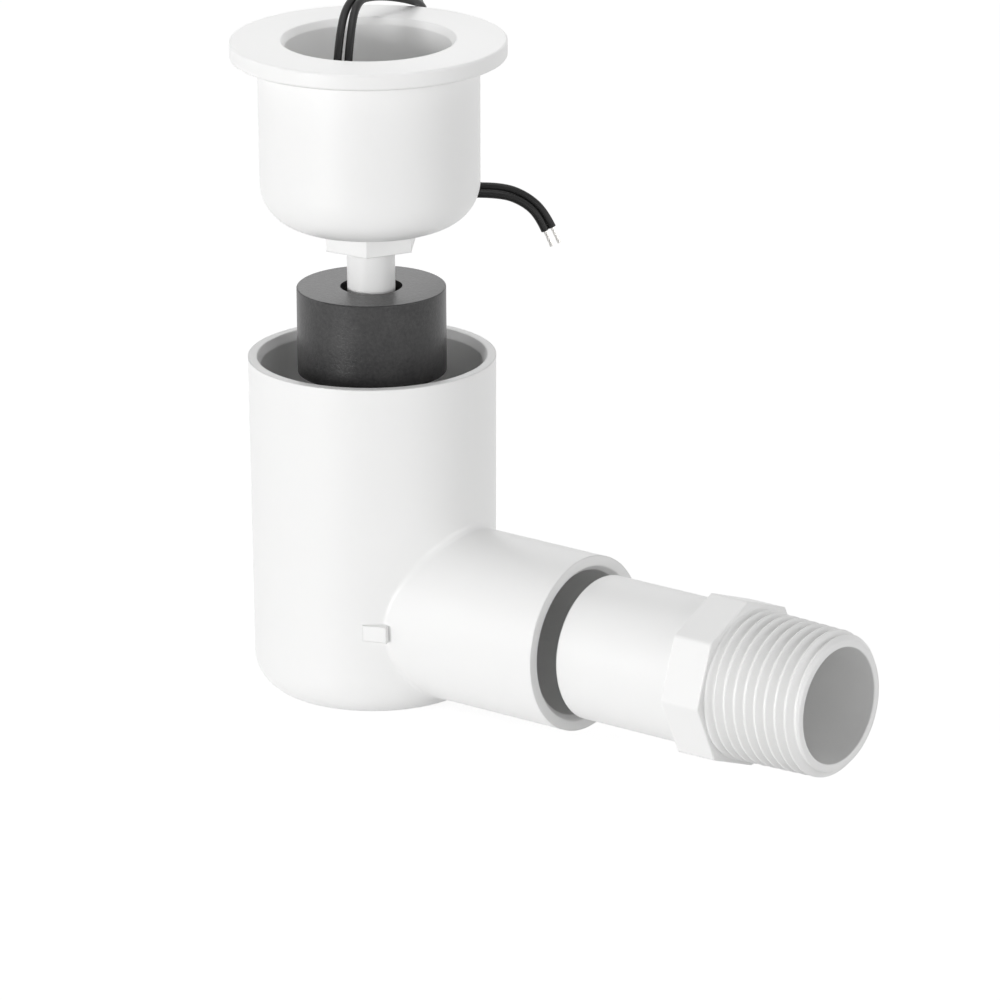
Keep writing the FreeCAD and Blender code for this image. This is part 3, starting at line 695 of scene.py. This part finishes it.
REED_GLASS = glass("reed_glass", tint=(0.72, 0.9, 0.78), clearest=0.02, haziest=0.12)
dress(nodes["reed_capsule"], REED_GLASS)
REED_ALLOY = metal("reed_alloy", tint=(0.62, 0.58, 0.52), roughness=0.25)
for name in ("reed_blade_lower", "reed_blade_upper"):
    dress(nodes[name], REED_ALLOY)
SOLDER = metal("solder", tint=(0.7, 0.7, 0.71), roughness=0.22)
dress(nodes["solder_joint"], SOLDER)
dress(nodes["return_wire"], TINNED_COPPER)
RED_INSULATION = plastic(
    "red_insulation", tint=(0.42, 0.02, 0.015), roughness=0.42,
    peel_size=0.0005, peel_height=0.00001,
)
dress(nodes["return_insulation"], RED_INSULATION)
BLACK_SLEEVE = plastic(
    "black_sleeve", tint=(0.016, 0.016, 0.016), roughness=0.55,
    peel_size=0.0004, peel_height=0.00002,
)
for name in ("shrink_sleeve_a", "shrink_sleeve_b"):
    dress(nodes[name], BLACK_SLEEVE)
POTTING_RESIN = plastic(
    "potting_resin", tint=(0.02, 0.02, 0.022), roughness=0.16,
    peel_size=0.003, peel_height=0.0001,
)
dress(nodes["potting_plug"], POTTING_RESIN)


# White studio
# A white sweep, a key lamp left of the camera with a broad fill on either side, two lamps from
# behind that draw the edges, and a small one over the cup. The sweep shows plain white.
WHITE = (1, 1, 1, 1)


def seen_directly(tree):
    """one for rays from the camera, off a shiny surface or through glass, and else none"""
    calc = calculator(tree)
    paths = tree.nodes.new("ShaderNodeLightPath").outputs
    seen = calc("MAXIMUM", paths["Is Camera Ray"], paths["Is Glossy Ray"])
    return calc("MAXIMUM", seen, paths["Is Transmission Ray"])


def studio_floor(size, shadow_share, white):
    """wide floor that is white to the camera but for a share of the shadow on it"""
    half = size / 2
    mesh = bpy.data.meshes.new("floor")
    mesh.from_pydata([(-half, -half, 0), (half, -half, 0), (half, half, 0), (-half, half, 0)],
                     [], [(0, 1, 2, 3)])
    floor = new_piece("floor", mesh)
    material, tree, shader = new_material("white_sweep")
    made, link = tree.nodes.new, tree.links.new
    shader.inputs["Base Color"].default_value = (0.9, 0.9, 0.9, 1)
    shader.inputs["Roughness"].default_value = 1
    shader.inputs["Specular IOR Level"].default_value = 0
    plain = made("ShaderNodeEmission")
    plain.inputs["Color"].default_value = WHITE
    plain.inputs["Strength"].default_value = white
    mixed = made("ShaderNodeMixShader")
    link(calculator(tree)("MULTIPLY", seen_directly(tree), 1 - shadow_share),
         mixed.inputs["Fac"])
    link(shader.outputs[0], mixed.inputs[1])
    link(plain.outputs[0], mixed.inputs[2])
    link(mixed.outputs[0], tree.nodes["Material Output"].inputs["Surface"])
    dress(floor, material)


def studio_world(level):
    """even light from all round, seen as plain white"""
    world = bpy.data.worlds.new("studio")
    scene.world = world
    world.use_nodes = True
    tree = world.node_tree
    lit = tree.nodes["Background"]
    lit.inputs["Color"].default_value = WHITE
    lit.inputs["Strength"].default_value = level
    shown = tree.nodes.new("ShaderNodeBackground")
    shown.inputs["Color"].default_value = WHITE
    mixed = tree.nodes.new("ShaderNodeMixShader")
    tree.links.new(seen_directly(tree), mixed.inputs["Fac"])
    tree.links.new(lit.outputs[0], mixed.inputs[1])
    tree.links.new(shown.outputs[0], mixed.inputs[2])
    tree.links.new(mixed.outputs[0], tree.nodes["World Output"].inputs["Surface"])


def soft_lamp(name, azimuth, elevation, width, height, power, distance=1.6,
              target=(0.03, 0, 0.06)):
    """soft box that points at a spot on the switch from a bearing"""
    lamp = bpy.data.lights.new(name, "AREA")
    lamp.shape = "RECTANGLE"
    lamp.size = width
    lamp.size_y = height
    lamp.energy = power
    holder = bpy.data.objects.new(name, lamp)
    away = bearing(math.radians(azimuth), math.radians(elevation))
    holder.location = Vector(target) + away * distance
    holder.rotation_euler = away.to_track_quat("Z", "Y").to_euler()
    holder.visible_camera = False
    scene.collection.objects.link(holder)


studio_floor(size=12, shadow_share=0.3, white=1.26)
studio_world(level=0.3)
soft_lamp("key", azimuth=-6, elevation=6, width=0.5, height=0.4, power=12.4)
soft_lamp("left_fill", azimuth=-60, elevation=6, width=0.9, height=0.9, power=4.6)
soft_lamp("right_fill", azimuth=72, elevation=5, width=1.2, height=1.2, power=6.8)
soft_lamp("edge_light", azimuth=118, elevation=12, width=0.9, height=0.9, power=4.6)
soft_lamp("rear_light", azimuth=-145, elevation=22, width=0.9, height=0.9, power=2.2)
soft_lamp("cup_light", azimuth=0, elevation=90, width=0.12, height=0.12, power=0.088,
          distance=0.15, target=(0, 0, 0.123))
scene.view_settings.view_transform = "Standard"
